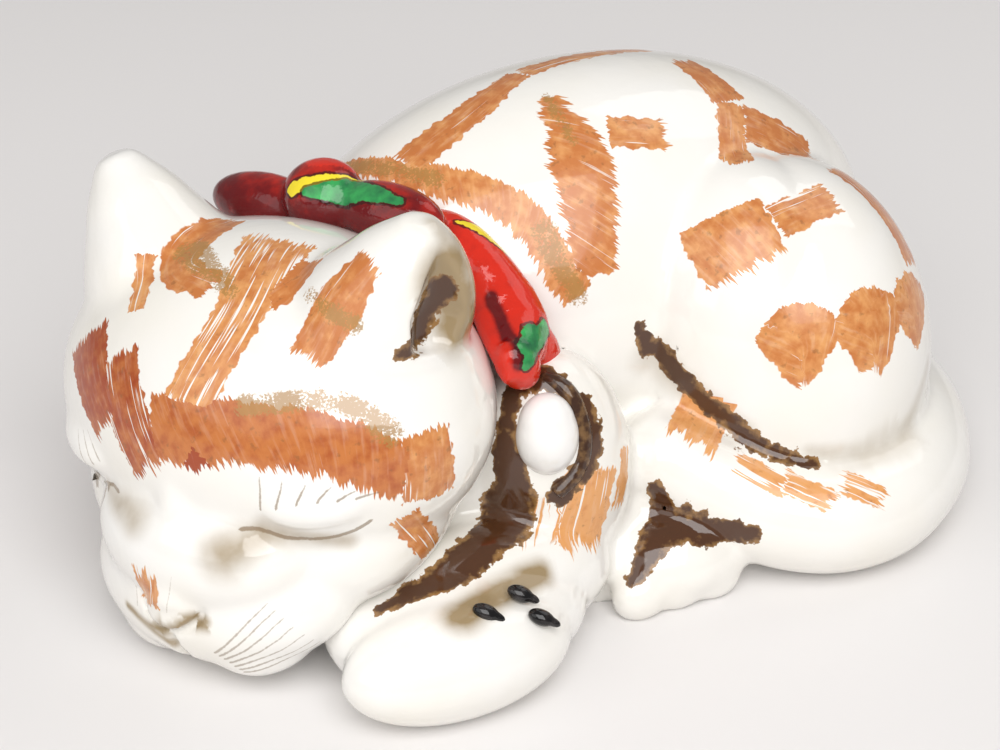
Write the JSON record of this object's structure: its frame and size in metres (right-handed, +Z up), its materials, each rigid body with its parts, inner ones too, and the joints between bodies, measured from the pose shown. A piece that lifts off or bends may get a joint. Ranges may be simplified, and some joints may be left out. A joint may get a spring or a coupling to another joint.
{
  "type": "ceramic cat figurine",
  "caption": "Sleeping cat figurine in painted, glazed porcelain: curled body, head on its paw, tail round the side, ribbon collar and bell.",
  "frame": {"origin": "on the table, under the middle of the figurine's bounding box", "axes": "+X from the cat's head to its rump, +Z up, -Y towards the side where its paws lie"},
  "size_m": [0.244, 0.162, 0.1174],
  "materials": {
    "porcelain": "clear gloss glaze over white porcelain, with rust, ochre and umber brushwork",
    "bare_porcelain": "unglazed, wiped and fired",
    "red_enamel": "thick glossy red overglaze enamel with green and yellow leaves",
    "umber_enamel": "dark umber glaze, glossy",
    "black_enamel": "black enamel, glossy"
  },
  "bodies": {
    "root": {"body_shell": "porcelain", "base_plate": "bare_porcelain", "haunch_shell": "porcelain", "tail": "porcelain", "hind_paw": "porcelain", "left_foreleg": "porcelain", "right_forepaw": "porcelain", "head_shell": "porcelain", "left_ear": "porcelain", "right_ear": "porcelain", "bow_knot": "red_enamel", "bow_left_loop": "red_enamel", "bow_right_loop": "red_enamel", "ribbon_front_end": "red_enamel", "ribbon_rear_end": "red_enamel", "collar_band": "red_enamel", "bell": "porcelain", "bell_cord": "umber_enamel", "paw_claws": "black_enamel"}
  },
  "joints": []
}
